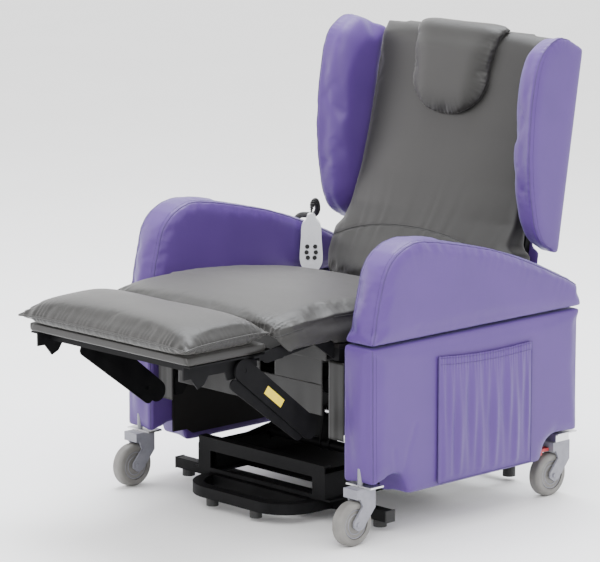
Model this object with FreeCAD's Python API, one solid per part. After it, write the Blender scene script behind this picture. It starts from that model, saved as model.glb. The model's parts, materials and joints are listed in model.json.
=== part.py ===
"""Patient riser-recliner chair on four casters, as an assembly of separate pieces.

Frame: millimetres, +Z up, the chair faces -Y, +X is at the sitter's left.
The origin is on the floor, midway between the arms and midway along them.
The chair is modelled with the legrest raised and the back upright.  It stands on its
casters, with the floor-lift base hanging just clear of the floor between them.
"""
import math
import os

import FreeCAD
import Part

V = FreeCAD.Vector
X_AXIS = V(1, 0, 0)
Y_AXIS = V(0, 1, 0)
Z_AXIS = V(0, 0, 1)

# ---- driving dimensions ----------------------------------------------------------
WIDTH = 820.0              # over the two arms
ARM_T = 98.0               # thickness of an arm and its side panel
FRONT_Y, REAR_Y = -337.0, 337.0
SEAM_Z = 439.0             # joint between arm and side panel
SEAM_GAP = 3.0
PANEL_Z = 91.0             # lowest edge of the side panels
ARM_OUT = WIDTH / 2
ARM_IN = ARM_OUT - ARM_T
PANEL_WALL = 18.0

WHEEL_R = 50.0
WHEEL_W = 30.0
CASTER_X = 363.0
CASTER_TRAIL = 26.0
CASTER_TOP = 127.0         # underside of a caster's mounting plate
STEM_Y = {"front": -328.0, "rear": 303.0}
STEM_R = 6.0

LEG_HINGE = (-375.0, 450.0)    # (y, z) of the legrest's hinge pins
LEG_HINGE_X = 272.0
BACK_HINGE = (215.0, 425.0)    # (y, z) of the backrest's hinge pins
BACK_LEAN = math.degrees(math.atan(0.163))
BACK_ORIGIN = (307.3, 430.0)   # (y, z) of the foot of the back's rear face

B1 = (-235.0, 90.0)        # long lift arm on the base
C1 = (150.0, 150.0)        # long lift arm on the chassis
B2 = (-182.0, 90.0)        # short lift arm on the base
C2 = (250.0, 150.0)        # short lift arm on the chassis
PIN_R = 8.0
PIN_FIT = 0.05             # radial running clearance of every pin

RAIL_X = 207.0             # middle of the base's side rails
BASE_TOP, BASE_LOW = 118.0, 57.0
FRONT_TOP = 136.0          # top of the base's front beam
FOOT_Z = 10.0              # the base hangs this far above the floor
FOOT_X, FOOT_Y = 316.0, -219.0
PLATE = 4.0

SOFT_GAP = 0.4             # clearance between soft pieces


# ---- helpers -------------------------------------------------------------------
def box(x0, x1, y0, y1, z0, z1):
    return Part.makeBox(x1 - x0, y1 - y0, z1 - z0, V(x0, y0, z0))


def cyl_x(r, x0, x1, y, z):
    return Part.makeCylinder(r, x1 - x0, V(x0, y, z), X_AXIS)


def cyl_z(r, x, y, z0, z1):
    return Part.makeCylinder(r, z1 - z0, V(x, y, z0), Z_AXIS)


def rod(r, a, b):
    """Round bar between two points."""
    a, b = V(*a), V(*b)
    return Part.makeCylinder(r, (b - a).Length, a, b - a)


def prism_x(points, x0, x1):
    """Polygon of (y, z) points swept along X."""
    loop = [V(x0, y, z) for y, z in points]
    return Part.Face(Part.makePolygon(loop + loop[:1])).extrude(V(x1 - x0, 0, 0))


def spline_x(points, x0, x1):
    """Closed smooth outline of (y, z) points swept along X."""
    curve = Part.BSplineCurve()
    curve.interpolate([V(x0, y, z) for y, z in points], PeriodicFlag=True)
    return Part.Face(Part.Wire(curve.toShape())).extrude(V(x1 - x0, 0, 0))


def fuse(shapes):
    out = shapes[0]
    for s in shapes[1:]:
        out = out.fuse(s)
    return out.removeSplitter()


def cut(body, *tools):
    for t in tools:
        body = body.cut(t)
    return body


def rounded(shape, radius, wanted):
    """Fillet the edges that wanted(edge) picks."""
    edges = [e for e in shape.Edges if wanted(e)]
    return shape.makeFillet(radius, edges) if edges else shape


def along(edge, axis):
    d = edge.Vertexes[-1].Point - edge.Vertexes[0].Point
    return d.Length > 1e-6 and abs(d.dot(axis)) > 0.999 * d.Length


def mirror(shape):
    return shape.mirror(V(0, 0, 0), X_AXIS)


def pair(shape):
    """The shape and its mirror image at the other side of the chair."""
    return [shape, mirror(shape)]


def point_on(start, end, share):
    return (start[0] + (end[0] - start[0]) * share, start[1] + (end[1] - start[1]) * share)


def link_plate(a, b, half_height, x0, x1, hole_a=0.0, hole_b=0.0):
    """Flat bar with round ends from a to b (y, z), with holes of the given radii."""
    d = math.hypot(b[0] - a[0], b[1] - a[1])
    ny, nz = -(b[1] - a[1]) / d * half_height, (b[0] - a[0]) / d * half_height
    body = prism_x([(a[0] + ny, a[1] + nz), (b[0] + ny, b[1] + nz),
                    (b[0] - ny, b[1] - nz), (a[0] - ny, a[1] - nz)], x0, x1)
    body = fuse([body, cyl_x(half_height, x0, x1, *a), cyl_x(half_height, x0, x1, *b)])
    for point, radius in ((a, hole_a), (b, hole_b)):
        if radius:
            body = body.cut(cyl_x(radius, x0 - 1, x1 + 1, *point))
    return body


def lean(shape):
    """Stand a piece drawn upright, with its rear face at y = 0 and its foot at z = 0, at the back's place."""
    shape = shape.copy()
    shape.rotate(V(0, 0, 0), X_AXIS, -BACK_LEAN)
    shape.translate(V(0, BACK_ORIGIN[0], BACK_ORIGIN[1]))
    return shape


# ---- floor-lift base ---------------------------------------------------------------
def base_frame():
    rails = [box(RAIL_X - PLATE / 2, RAIL_X + PLATE / 2, -285, 335, BASE_LOW, BASE_TOP),
             box(RAIL_X - PLATE / 2, RAIL_X + 18, -285, 335, BASE_LOW, BASE_LOW + PLATE)]
    sides = [s for r in rails for s in pair(r)]
    beam = box(-RAIL_X, RAIL_X, -285, -285 + PLATE, BASE_LOW, FRONT_TOP)
    front = [beam.cut(box(-168, 168, -290, -270, 66, 106)),
             box(-RAIL_X, RAIL_X, -285, -262, FRONT_TOP - PLATE, FRONT_TOP)]
    rear = [box(-RAIL_X, RAIL_X, 310, 335, BASE_LOW, BASE_LOW + 25)]
    inner = [box(173, 177, -262, -150, BASE_LOW, BASE_TOP), box(-177, -173, -262, -150, BASE_LOW, BASE_TOP),
             box(-RAIL_X, RAIL_X, -285, 120, BASE_LOW, BASE_LOW + PLATE)]
    inner[2] = cut(inner[2], box(-150, 150, -262, -185, 50, 70), box(30, 150, -60, 40, 50, 70))
    frame = fuse(sides + front + rear + inner)
    motor_ears = [box(s * 22 - 3, s * 22 + 3, 285, 311, BASE_LOW + 12, BASE_TOP) for s in (-1, 1)]
    frame = fuse([frame] + motor_ears)
    return cut(frame, cyl_x(PIN_R, -40, 40, LIFT_Q0[0], LIFT_Q0[1]))


def base_cross_tube():
    tube = box(-345, 345, FOOT_Y - 12.5, FOOT_Y + 12.5, 25, 50)
    risers = [box(s * RAIL_X - 12, s * RAIL_X + 12, FOOT_Y - 12.5, FOOT_Y + 12.5, 50, BASE_LOW)
              for s in (-1, 1)]
    return fuse([tube] + risers)


def rounded_loop(half_x, front, rear, radius, z0, z1):
    """Slab with the front corners rounded, seen from above."""
    slab = box(-half_x, half_x, front, rear, z0, z1)
    return rounded(slab, radius, lambda e: along(e, Z_AXIS) and e.CenterOfMass.y < front + 1)


def u_bar():
    """Front hoop that keeps the chair from tipping forward."""
    hoop = rounded_loop(180, -380, -232.5, 92, 27, 52).cut(rounded_loop(154, -354, -205, 66, 20, 60))
    middle = box(-154.5, 154.5, -290, -265, 27, 52)
    posts = [box(s * 167 - 13, s * 167 + 13, -278, -256, 52, BASE_LOW) for s in (-1, 1)]
    return fuse([hoop, middle] + posts)


def base_rubber():
    """Six feet and the two end caps of the cross tube."""
    feet = [cyl_z(15, s * FOOT_X, FOOT_Y, FOOT_Z, 25) for s in (-1, 1)]
    feet += [cyl_z(14, s * 72, -366, FOOT_Z, 27) for s in (-1, 1)]
    feet += [cyl_z(15, s * RAIL_X, 318, FOOT_Z, BASE_LOW) for s in (-1, 1)]
    caps = pair(box(345, 349, FOOT_Y - 13.5, FOOT_Y + 13.5, 24, 51))
    return feet + caps


def base_pins():
    """Pins that the lift arms turn on, and the lift motor's pin."""
    long_pin = cyl_x(PIN_R - 0.2, RAIL_X - PLATE / 2 - 8.5, RAIL_X - PLATE / 2, *B1)
    short_pin = cyl_x(PIN_R - 0.2, 177, 188, *B2)
    return pair(long_pin) + pair(short_pin) + [cyl_x(PIN_R - PIN_FIT, -26, 26, *LIFT_Q0)]


# ---- lift arms and the lift motor -----------------------------------------------------
LIFT_Q0 = (298.0, 100.0)       # motor's pin on the base
LIFT_Q1 = (-60.0, 190.0)       # rod's end on the long lift arms
LEG_Q0 = (160.0, 318.0)
LEG_Q1 = (-455.0, 385.0)
BACK_Q0 = (-215.0, 318.0)
BACK_LEVER = (215.0, 320.0)
LEG_MOTOR_X, BACK_MOTOR_X = 62.0, -62.0


def lift_arms_long():
    plate = link_plate(B1, C1, 15, 196.5, 202.5, PIN_R - 0.2 + PIN_FIT, PIN_R)
    tube_at = point_on(B1, C1, 0.42)
    tube = cyl_x(11, -202, 202, *tube_at)
    ears = [link_plate(tube_at, LIFT_Q1, 13, x, x + 5, 0, 0) for x in (-16.5, 11.5)]
    studs = [cyl_x(7, x, x + 2, *LIFT_Q1) for x in (-11.5, 9.5)]
    body = fuse(pair(plate) + [tube] + ears + studs)
    return body.cut(cyl_x(8, -210, 210, *tube_at))


def lift_arms_short():
    plate = link_plate(B2, C2, 15, 180.5, 186.5, PIN_R - 0.2 + PIN_FIT, 0)
    span = math.hypot(C2[0] - B2[0], C2[1] - B2[1])

    def at(share_mm, across):
        y, z = point_on(B2, C2, share_mm / span)
        return (y - (C2[1] - B2[1]) / span * across, z + (C2[0] - B2[0]) / span * across)

    web = prism_x([at(60, -10), at(75, -27), at(165, -27), at(180, -10)], 180.5, 186.5)
    notch = prism_x([at(96, -4), at(127, -4), at(133, 20), at(94, 20)], 170, 190)
    return pair(fuse([plate, web]).cut(notch))


def telescopic(q0, q1, x, closed, tail):
    """Motor housing and push rod lying from q0 to q1.

    closed is the housing's length, and tail the distance from q0 to the rod's inner end.
    """
    length = math.hypot(q1[0] - q0[0], q1[1] - q0[1])
    low, high = (-44, 22) if q1[0] < q0[0] else (-22, 44)      # the gearbox hangs below the rod
    housing = fuse([Part.makeCylinder(19, closed - 60, V(x, 0, 60), Z_AXIS),
                    box(x - 30, x + 30, low, high, 26, 120),
                    Part.makeCylinder(23, 26, V(x, 0, closed - 26), Z_AXIS),
                    box(x - 12, x + 12, -13, 13, -2, 40), cyl_x(15, x - 12, x + 12, 0, 0)])
    housing = housing.cut(Part.makeCylinder(10 + PIN_FIT, closed, V(x, 0, 30), Z_AXIS))
    housing = housing.cut(cyl_x(PIN_R, x - 30, x + 30, 0, 0))
    push = fuse([Part.makeCylinder(10, length - tail - 16, V(x, 0, tail), Z_AXIS),
                 box(x - 9, x + 9, -11.5, 11.5, length - 30, length), cyl_x(13, x - 9, x + 9, 0, length)])
    push = push.cut(cyl_x(PIN_R, x - 30, x + 30, 0, length))
    turn = math.degrees(math.atan2(-(q1[0] - q0[0]), q1[1] - q0[1]))
    out = []
    for shape in (housing, push):
        shape.rotate(V(0, 0, 0), X_AXIS, turn)
        shape.translate(V(0, q0[0], q0[1]))
        out.append(shape)
    return out


# ---- chassis ---------------------------------------------------------------------------
SEAT_RAKE = 6.0
SEAT_HINGE_LINE = (-330.0, 424.0)


def raked(shape):
    shape = shape.copy()
    shape.rotate(V(0, *SEAT_HINGE_LINE), X_AXIS, -SEAT_RAKE)
    return shape


def seat_frame():
    """Raked rectangular tube frame under the seat, with the legrest's hinge brackets."""
    z1 = SEAT_HINGE_LINE[1]
    rails = pair(box(276, 300, -330, 175, z1 - 28, z1))
    cross = [box(-276, 276, y, y + 24, z1 - 28, z1) for y in (-330, -90, 100)]
    frame = raked(fuse(rails + cross))
    ears = [prism_x([(-330, 423), (-334, 435), (-362, 466), (-388, 462), (-390, 440), (-330, 398)], 279, 285)]
    frame = fuse([frame] + [e for s in ears for e in pair(s)])
    return frame.cut(cyl_x(PIN_R, -300, 300, *LEG_HINGE))


def tie_bars():
    """Two flat tubes across the chair, from one side panel to the other."""
    return [box(-ARM_IN, ARM_IN, -285, -260, 312, 334), box(-ARM_IN, ARM_IN, 250, 275, 200, 225)]


def apart(shapes):
    """The shapes as separate touching solids: each one gives way to those before it."""
    done = []
    for shape in shapes:
        for other in done:
            if shape.BoundBox.intersect(other.BoundBox):
                shape = shape.cut(other)
        done += shape.Solids
    return done


def chassis_plates():
    """Steel side plates that carry the lift arms, and the bars between them and the side panels."""
    outline = [(-270, 300), (110, 128), (285, 128), (300, 180), (270, 330), (-290, 368), (-300, 330)]
    plate = prism_x(outline, 189, 194.5)
    window = prism_x([(-190, 320), (110, 196), (225, 196), (225, 306), (-190, 335)], 180, 200)
    plate = plate.cut(window)
    stubs = [cyl_x(PIN_R - PIN_FIT, 194.5, 204, *C1), cyl_x(PIN_R - 0.2, 187, 189, *C2)]
    ties = tie_bars()
    slope = math.tan(math.radians(SEAT_RAKE))
    rail_foot = SEAT_HINGE_LINE[1] - 28 / math.cos(math.radians(SEAT_RAKE))
    under_rail = [rail_foot - (y + 330) * slope for y in (-285, -260)]
    legs = pair(prism_x([(-285, 312), (-260, 312), (-260, under_rail[1]), (-285, under_rail[0])], 276, 300))
    y, z = BACK_HINGE
    ear_line = [(152, 352), (180, 350), (250, 350), (y + 14, z), (y - 14, z), (152, 392)]
    back_ear = fuse([prism_x(ear_line, 264, 276), cyl_x(14, 264, 276, y, z)])
    motor_bars = [box(38, 190, 178, 196, 314, 334), box(-190, 190, -256, -234, 316, 336)]
    motor_ears = [box(x - 21, x - 15, LEG_Q0[0] - 14, 182, 300, 341) for x in (LEG_MOTOR_X, LEG_MOTOR_X + 36)]
    motor_ears += [box(x - 21, x - 15, -240, BACK_Q0[0] + 14, 300, 341)
                   for x in (BACK_MOTOR_X, BACK_MOTOR_X + 36)]
    plates = pair(fuse([plate] + stubs))
    holes = [cyl_x(PIN_R, -300, 300, *BACK_HINGE),
             cyl_x(PIN_R, LEG_MOTOR_X - 40, LEG_MOTOR_X + 40, *LEG_Q0),
             cyl_x(PIN_R, BACK_MOTOR_X - 40, BACK_MOTOR_X + 40, *BACK_Q0)]
    return apart([cut(s, *holes) for s in plates + motor_ears + ties + legs + pair(back_ear) + motor_bars
                  + link_struts()])


def hinge_pins():
    """Pins of the legrest hinge, the back hinge, the motors and the lower legrest links."""
    pins = pair(cyl_x(PIN_R - PIN_FIT, 262, 289, *LEG_HINGE))
    pins += pair(cyl_x(PIN_R - PIN_FIT, 250, 274, *BACK_HINGE))
    pins += [cyl_x(PIN_R - PIN_FIT, x - 22, x + 22, *q)
             for x, q in ((LEG_MOTOR_X, LEG_Q0), (BACK_MOTOR_X, BACK_Q0))]
    return pins


def panel_outline():
    return [(FRONT_Y, 131), (FRONT_Y, SEAM_Z - SEAM_GAP / 2), (REAR_Y, SEAM_Z - SEAM_GAP / 2), (REAR_Y, 150),
            (258, 150), (236, 143), (224, 130), (208, PANEL_Z), (-222, PANEL_Z), (-236, 128), (-247, 142),
            (-262, 146), (-280, 145), (-300, 137)]


def side_panel(side):
    """Upholstered outer shell of one side, open towards the middle of the chair."""
    outer = prism_x(panel_outline(), ARM_IN, ARM_OUT)
    outer = rounded(outer, 9, lambda e: abs(e.CenterOfMass.x - ARM_OUT) < 0.1)
    w = PANEL_WALL
    hollow = prism_x([(FRONT_Y + 62, 170), (FRONT_Y + 62, SEAM_Z - 2 - w), (REAR_Y - w, SEAM_Z - 2 - w), (REAR_Y - w, 170),
                      (200, 170), (200, PANEL_Z + w), (-215, PANEL_Z + w), (-215, 170)], ARM_IN - 1, ARM_OUT - w)
    shell = outer.cut(hollow)
    for y in STEM_Y.values():
        shell = shell.cut(cyl_z(STEM_R + 0.5, CASTER_X, y, 100, 172))
    for y in ARM_BOLT_Y:
        shell = shell.cut(cyl_z(4, CASTER_X, y, SEAM_Z - 30, SEAM_Z + 2))
    return shell if side > 0 else mirror(shell)


def side_linings():
    """Dark inner boards that close the side panels."""
    x1 = ARM_IN - 0.5
    board = prism_x([(-274, 124), (-274, 414), (318, 414), (318, 171), (224, 171), (199, 140), (199, 112), (-214, 112),
                     (-232, 124)], x1 - 5, x1)
    board = cut(board, *tie_bars())
    return pair(board)


def caster_beams():
    """Steel beam inside each side panel that ties its two casters."""
    beam = box(CASTER_X - 25, CASTER_X + 20, -270, REAR_Y - PANEL_WALL - 2, 178, 208)
    hollow = box(CASTER_X - 22, CASTER_X + 17, -271, REAR_Y, 181, 205)
    return pair(beam.cut(hollow))


def caster_plates():
    """Mounting plates between the casters and the side panels."""
    plates = []
    for y, z in ((STEM_Y["front"], 131.0), (STEM_Y["rear"], 150.0)):
        y0, y1 = max(y - 34, FRONT_Y + 3), min(y + 34, REAR_Y - 3)
        plate = box(CASTER_X - 38, CASTER_X + 38, y0, y1, z - 3 if y > 0 else CASTER_TOP, z)
        if y > 0:
            plate = fuse([plate, box(CASTER_X - 22, CASTER_X + 22, y - 22, y + 22, CASTER_TOP, z - 2)])
        plate = plate.cut(prism_x(panel_outline(), ARM_IN - 5, ARM_OUT + 5))
        plates += pair(plate.cut(cyl_z(STEM_R + PIN_FIT, CASTER_X, y, 100, 160)))
    return plates


def arm_profile():
    """Outline of an upper arm: upright front, rounded nose and a long slope to the rear."""
    low = SEAM_Z + SEAM_GAP / 2
    line = [V(0, FRONT_Y + 1, low), V(0, FRONT_Y + 9, 500), V(0, -316, 553)]
    nose = Part.BSplineCurve()
    nose.interpolate([V(0, -316, 553), V(0, -297, 610), V(0, -258, 648), V(0, -205, 666), V(0, -140, 662), V(0, -50, 644),
                      V(0, 60, 617), V(0, 180, 573), V(0, 280, 528), V(0, 334, 497)])
    edges = [Part.LineSegment(line[0], line[1]).toShape(), Part.LineSegment(line[1], line[2]).toShape(), nose.toShape(),
             Part.LineSegment(V(0, 334, 497), V(0, REAR_Y + 3, 486)).toShape(),
             Part.LineSegment(V(0, REAR_Y + 3, 486), V(0, REAR_Y + 3, low)).toShape(),
             Part.LineSegment(V(0, REAR_Y + 3, low), line[0]).toShape()]
    return Part.Wire(edges)


def arm_solid():
    face = Part.Face(arm_profile())
    face.translate(V(ARM_IN + 2, 0, 0))
    return face.extrude(V(ARM_T - 2, 0, 0))


ARM_BOLT_Y = (-200, 0, 200)
CORE = [(-285, SEAM_Z + 1.5), (-285, 560), (-230, 615), (-60, 610), (150, 545), (300, 470), (300, SEAM_Z + 1.5)]


def arm_pad(side):
    """Padded upper arm with a slot underneath for its board."""
    pad = arm_solid().cut(prism_x(CORE, CASTER_X - 15, CASTER_X + 15))
    return pad if side > 0 else mirror(pad)


def arm_cores():
    core = prism_x(CORE, CASTER_X - 14.8, CASTER_X + 14.8)
    bolts = [cyl_z(4, CASTER_X, y, SEAM_Z - SEAM_GAP / 2 - 20, SEAM_Z + SEAM_GAP / 2) for y in ARM_BOLT_Y]
    return pair(core) + [b for s in bolts for b in pair(s)]


def seat_board():
    z = SEAT_HINGE_LINE[1]
    return raked(box(-298, 298, -330, 148, z, z + 9))


def seat_cushion():
    """Padded seat: high at the front, low at the back, with a rounded nose."""
    z = SEAT_HINGE_LINE[1] + 9.4
    low_rear = z - math.tan(math.radians(SEAT_RAKE)) * 450
    top = [(-341, 468), (-341, 497), (-336, 508), (-322, 514), (-250, 512), (-120, 502), (20, 482), (90, 466), (101, 455)]
    outline = [(-330, z)] + top + [(101, low_rear + 2.2)]
    cushion = prism_x(outline, -300, 300)
    return rounded(cushion, 12, lambda e: abs(abs(e.CenterOfMass.x) - 300) < 0.1 and e.CenterOfMass.z > 503)


def skirt():
    """Dark cloth under the front of the seat: a middle sheet, a strip beside each link and a valance."""
    middle = box(-236, 236, -322, -319, 262, 390)
    slot = box(40, 84, -325, -315, 330, 400)
    low = middle.common(box(-300, 300, -330, -310, 200, 330))
    high = middle.cut(slot).common(box(-300, 300, -330, -310, 330, 400))
    strip = box(262, 302, -322, -319, 215, 388)
    valance = box(-270, 270, -341, -338, 398, 440)
    return [low] + high.Solids + pair(strip) + [valance]


def pocket_solid():
    """Side pocket: a gathered pouch that stands off the side panel, open at the top."""
    y0, y1, z0, z1 = -138, 164, 109, 396
    outer = box(ARM_OUT, ARM_OUT + 9.5, y0, y1, z0, z1)
    inner = box(ARM_OUT, ARM_OUT + 7.5, y0 + 6, y1 - 6, z0 + 6, z1 + 5)
    return outer.cut(inner)


def control_box():
    """Power supply and control unit under the seat."""
    case = rounded(box(95, 175, -60, 110, 222, 262), 6, lambda e: along(e, Z_AXIS))
    return case


# ---- legrest -----------------------------------------------------------------------------
BOARD = (-735.0, -513.0, 437.0, 457.0)
LINK_P = (-568.0, 404.0)       # the wide link's pivot on the foot board's bracket
LINK_Q = (-374.0, 247.0)       # its lower end
LINK_X = (248.5, 254.0)


def legrest_frame():
    """Side rails from the hinge to the foot board, with their link brackets and a cross bar."""
    rail = link_plate(LEG_HINGE, (-520, 430), 13, 270, 276, PIN_R, 0)
    tail = box(258, 276, -560, -500, 432, 436.5)
    angle = fuse([box(238, 242, -730, -520, 405, 436.5), box(238, 262, -730, -520, 432.5, 436.5)])
    bracket = prism_x([(-560, 430), (-520, 430), (-560, 388), (-606, 386), (-618, 420)], 238, 242)
    catch = prism_x([(-722, 420), (-650, 420), (-672, 388), (-690, 380)], 238, 242)
    joint = box(238, 276, -545, -500, 425, 436.5)
    web = prism_x([(-375, 437), (-520, 417), (-520, 436), (-375, 463)], 270, 276)
    stud = cyl_x(7, 242, 253, *LINK_P)
    parts = pair(rail) + pair(tail) + pair(angle) + pair(bracket) + pair(catch) + pair(joint) + pair(stud)
    bar = box(-238, 238, -700, -680, 416, 436.5)
    ear = [prism_x([(LEG_Q1[0] - 14, LEG_Q1[1] - 12), (LEG_Q1[0] + 14, LEG_Q1[1] - 12), (-472, 434), (-494, 434)],
                   LEG_MOTOR_X + s, LEG_MOTOR_X + s + 5) for s in (-16.5, 11.5)]
    ear += [cyl_x(7, LEG_MOTOR_X + s, LEG_MOTOR_X + s + 2, *LEG_Q1) for s in (-11.5, 9.5)]
    hanger = [box(-272, 272, -494, -472, 420, 434)]
    body = fuse(parts + [bar] + ear + hanger)
    return cut(body, cyl_x(PIN_R, -300, 300, *LEG_HINGE))


def footboard():
    y0, y1, z0, z1 = BOARD
    board = box(-264, 264, y0, y1, z0, z1)
    return rounded(board, 6, lambda e: along(e, Z_AXIS))


def legrest_pad():
    """Foot pad: a full cushion with its sides drawn in between the corners."""
    y0, y1 = -758.0, -513.0
    outline = [(y0, 483), (y0 + 26, 506), (y0 + 70, 519), (y0 + 130, 521), (y0 + 190, 512), (y1, 492),
               (y1, 470), (y1 - 30, 457.5), (y0 + 30, 457.5), (y0, 476)]
    return prism_x(outline, -278, 278)


def chaise_pad():
    """Padded flap between the seat and the foot pad."""
    outline = [(-512, 466), (-512, 492), (-470, 500), (-420, 507), (-370, 512), (-343, 512),
               (-343, 480), (-345, 474), (-430, 470)]
    return prism_x(outline, -290, 290)


def legrest_links():
    """Wide diagonal link turning on the foot board's bracket, with a narrow one welded behind it."""
    wide = link_plate(LINK_P, LINK_Q, 25, *LINK_X, 7 + PIN_FIT, 0)
    narrow = link_plate((-590, 374), (-404, 236), 13, 244.5, LINK_X[0], 0, 0)
    spacer = cyl_x(6, 245, 252, -400, 255)
    return pair(fuse([wide, narrow, spacer]))


def link_struts():
    """Brackets on the chassis that the diagonal links rest against when the legrest is up."""
    return pair(prism_x([(-285, 334), (-262, 334), (-262, 262), (-290, 226), (-312, 226), (-312, 262)], 256, 261))


def link_labels():
    """Blank yellow label on the left diagonal link."""
    label = box(0, 0.4, -31, 31, -9.5, 9.5)
    label.rotate(V(0, 0, 0), X_AXIS, math.degrees(math.atan2(LINK_Q[1] - LINK_P[1], LINK_Q[0] - LINK_P[0])))
    label.translate(V(LINK_X[1], *point_on(LINK_P, LINK_Q, 0.45)))
    return label


# ---- backrest, drawn upright: y = 0 is the rear face, z = 0 its foot -----------------------------
BACK_FRONT = [(-209, -4), (-192, 20), (-176, 46), (-137, 109), (-105, 175), (-80, 260), (-63, 365), (-56, 467), (-50, 570),
              (-42, 606)]


BACK_SIDE = [(-96, -4), (-101, 20), (-106, 46), (-93, 109), (-66, 175), (-50, 260), (-42, 365), (-38, 467), (-34, 570),
             (-31, 606)]


def back_cushion():
    """Lumbar-heavy back pad that thins out towards the head and towards its sides."""
    def section(x, share):
        front = [(a[0] + (b[0] - a[0]) * share, a[1]) for a, b in zip(BACK_FRONT, BACK_SIDE)]
        line = [V(x, y, z) for y, z in front + [(-27, 606), (-27, 9)]]
        return Part.makePolygon(line + line[:1])

    pad = Part.makeLoft([section(x, share) for x, share in
                         ((-298, 1.0), (-250, 0.45), (-160, 0.0), (160, 0.0), (250, 0.45), (298, 1.0))], True, True)
    for x0, x1 in ((-310, -273.5), (273.5, 310)):
        pad = pad.cut(box(x0, x1, -240, 20, 118, 640))
    return lean(pad)


def back_panel():
    """Rear cover board."""
    low = box(-298, 298, -10, 0, 4, 140)
    high = box(-348, 348, -10, 0, 139, 600)
    high = rounded(high, 60, lambda e: along(e, Y_AXIS) and e.CenterOfMass.z > 590)
    return lean(fuse([low, high]))


def back_frame():
    """Ladder frame of flat tubes, with the hinge ears and the motor's lever."""
    bars = pair(box(238, 262, -26, -10.5, 10, 590))
    rungs = [box(-238, 238, -26, -10.5, z, z + 24) for z in (10, 290, 566)]
    frame = lean(fuse(bars + rungs))
    y, z = BACK_HINGE
    ear = prism_x([(y - 14, z - 14), (y + 60, z - 22), (297, 438), (303, 478), (291, 478), (284, 438), (y - 8, z + 12)],
                  252, 258)
    lever_y, lever_z = BACK_LEVER
    lever = prism_x([(lever_y - 13, lever_z - 12), (lever_y + 13, lever_z - 12), (289, 425), (297, 438), (299.5, 450),
                     (287.5, 450), (280, 432), (lever_y - 10, 372)], -3, 3)
    levers = []
    for side in (-14, 14):
        one = lever.copy()
        one.translate(V(BACK_MOTOR_X + side, 0, 0))
        levers.append(one)
    levers += [cyl_x(7, BACK_MOTOR_X + a, BACK_MOTOR_X + a + 2, *BACK_LEVER) for a in (-11.5, 9.5)]
    body = fuse([frame] + pair(ear) + levers)
    return cut(body, cyl_x(PIN_R, 200, 300, *BACK_HINGE), cyl_x(PIN_R, -300, -200, *BACK_HINGE))


WING = [(-12, 600), (-17, 125), (-64, 141), (-96, 177), (-113, 215), (-127, 253), (-137, 292), (-146, 331),
        (-151, 371), (-155, 410), (-158, 450), (-158, 491), (-155, 532), (-142, 575), (-112, 606), (-84, 620), (-50, 616)]


def wing(side):
    """Side bolster of the back, pointed at its foot."""
    shape = prism_x([(y if y < -12 else -11, z) for y, z in WING], 274, 350)
    shape = lean(shape)
    return shape if side > 0 else mirror(shape)


def head_pillow():
    """Pillow on the front of the back, rounded at its foot."""
    half = 128.0
    arc_z = 402 + 92
    front = box(-half, half, -100, -40, arc_z, 628)
    squash = FreeCAD.Matrix()
    squash.scale(1, 1, 92.0 / half)
    disc = Part.makeCylinder(half, 60, V(0, -100, 0), Y_AXIS).transformGeometry(squash)
    disc.translate(V(0, 0, arc_z))
    body = fuse([front, disc.common(box(-200, 200, -120, 0, 300, arc_z))])
    behind = prism_x([(10, 300), (-70 - SOFT_GAP, 300)] + [(y - SOFT_GAP, z) for y, z in BACK_FRONT if z > 340]
                     + [(-42, 640), (10, 640)], -300, 300)
    return lean(body.cut(behind))


# ---- casters --------------------------------------------------------------------------------
def caster(x, stem_y, braked):
    """(fork, wheel, pedal) of one caster, its wheel ahead of its stem."""
    axle = (stem_y - CASTER_TRAIL, WHEEL_R)
    gap = WHEEL_W / 2 + 1.5
    top = prism_x([(stem_y - 30, 106), (stem_y - 30, CASTER_TOP - 0.5), (stem_y + 26, CASTER_TOP - 0.5), (stem_y + 26, 106)],
                  x - gap - 5, x + gap + 5)
    cheek = prism_x([(stem_y + 26, 124), (stem_y + 26, 82), (axle[0] + 14, 38), (axle[0], 36), (axle[0] - 13, 46),
                     (axle[0] - 12, 58), (stem_y - 12, 88), (stem_y - 20, 106), (stem_y - 30, 108), (stem_y - 30, 124)],
                    x + gap, x + gap + 5)
    mirrored = cheek.copy()
    mirrored.translate(V(-2 * gap - 5, 0, 0))
    axle_pin = cyl_x(5, x - gap - 8, x + gap + 8, *axle)
    stem = cyl_z(STEM_R, x, stem_y, 120, 168)
    fork = fuse([top, cheek, mirrored, axle_pin, stem])
    fork = fork.cut(cyl_x(WHEEL_R + 2.5, x - gap, x + gap, *axle).cut(cyl_x(5, x - gap, x + gap, *axle)))
    tyre = cyl_x(WHEEL_R, x - WHEEL_W / 2, x + WHEEL_W / 2, *axle)
    tyre = rounded(tyre, 9, lambda e: e.Length > 200 and not along(e, X_AXIS))
    tyre = tyre.cut(cyl_x(34, x - 40, x + 40, *axle))
    hub = cyl_x(34, x - WHEEL_W / 2 + 3, x + WHEEL_W / 2 - 3, *axle).cut(cyl_x(5 + PIN_FIT, x - 40, x + 40, *axle))
    pedal = None
    if braked:
        y = stem_y - 52
        pedal = fuse([box(x - 9, x + 9, y - 8, stem_y - 32, 107, 114), box(x - 9, x + 9, y - 12, y - 2, 100, 114)])
    return fork, [tyre, hub], pedal


# ---- handset -------------------------------------------------------------------------------------
HANDSET_AT = (-283.0, 147.0, 458.0)    # foot of the handset
HANDSET_TURN = 46.0                    # it faces forward and to the sitter's left
HANDSET_SIZE = (54.0, 24.0, 132.0)
BUTTON_PLACES = [(-9.5, 56.0), (9.5, 56.0), (-11.0, 42.0), (11.0, 42.0), (-8.0, 29.0), (8.0, 29.0)]
BUTTON_R = 5.0


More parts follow.
